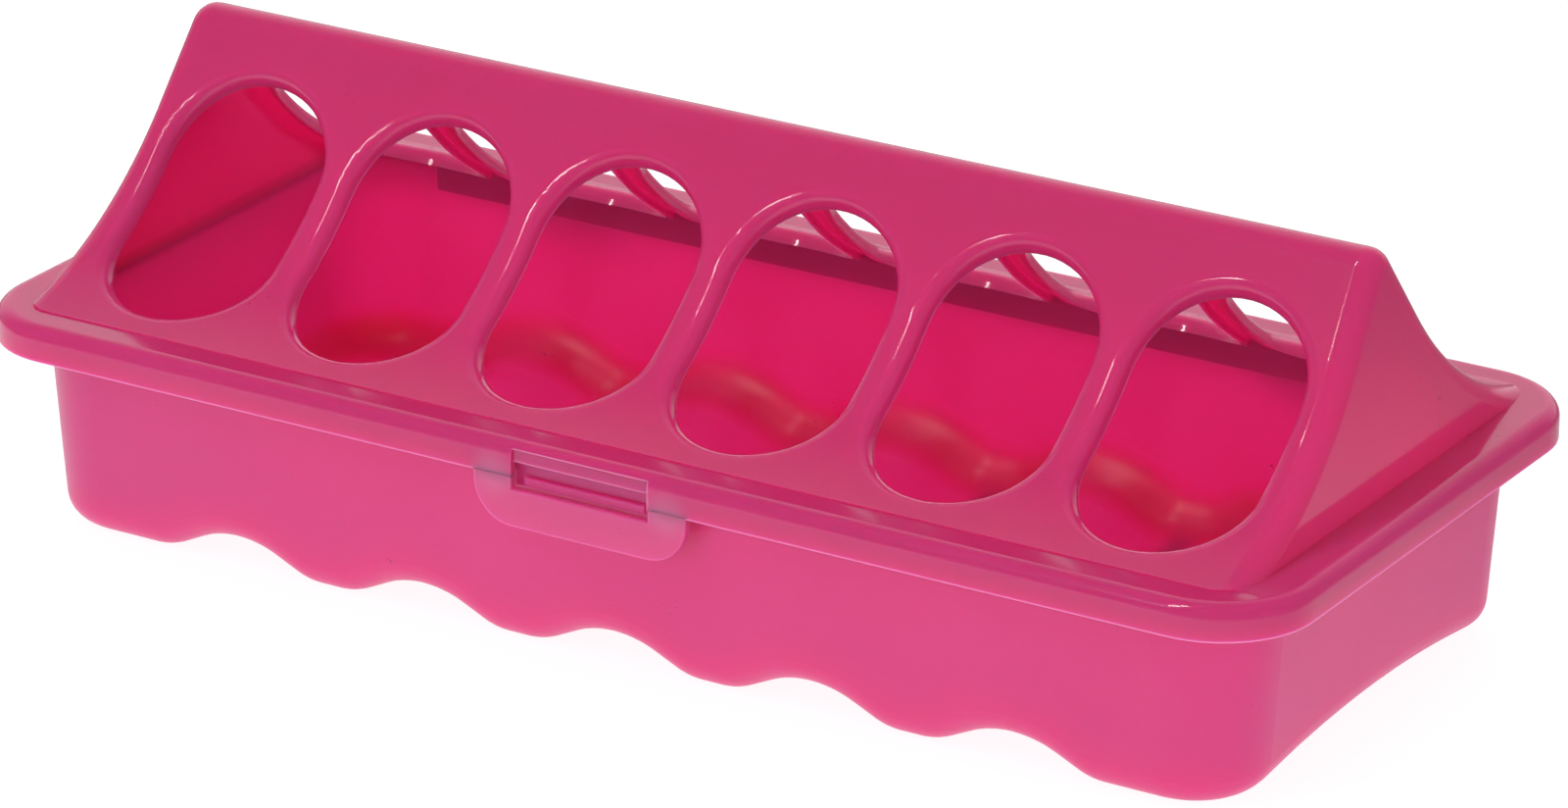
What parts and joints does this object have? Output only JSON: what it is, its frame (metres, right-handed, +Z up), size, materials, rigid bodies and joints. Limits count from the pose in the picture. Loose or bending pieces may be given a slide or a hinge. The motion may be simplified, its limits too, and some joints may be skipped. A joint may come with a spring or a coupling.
{
  "type": "chick feed trough",
  "caption": "Flip-top feed trough for chicks: wavy-bottomed plastic trough, hinged ridged roof lid with rows of oval feeding holes, and a springy front latch tab.",
  "frame": {"origin": "On the ground that the feet stand on, below the middle of the whole, hinge clips included. The roof's ridge runs at Y = -3.65 mm.", "axes": "+X along the trough, -Y to the front with the latch, +Z up"},
  "size_m": [0.3, 0.1458, 0.0956],
  "materials": {
    "trough_plastic": "semi-gloss injection-moulded polypropylene, slightly see-through magenta red",
    "lid_plastic": "semi-gloss injection-moulded polypropylene, slightly see-through magenta red"
  },
  "bodies": {
    "trough": {"trough": "trough_plastic"},
    "lid": {"lid": "lid_plastic"},
    "latch": {"latch": "lid_plastic"}
  },
  "joints": [
    {"name": "lid_hinge", "type": "hinge", "parent": "trough", "child": "lid", "pos_m": [0, 0.06925, 0.0405], "axis": [-1, 0, 0], "range_deg": [0, 105]},
    {"name": "latch_flex", "type": "hinge", "parent": "lid", "child": "latch", "pos_m": [0, -0.07212, 0.03995], "axis": [-1, 0, 0], "range_deg": [0, 12], "stiffness_Nm_per_rad": 0.05}
  ]
}
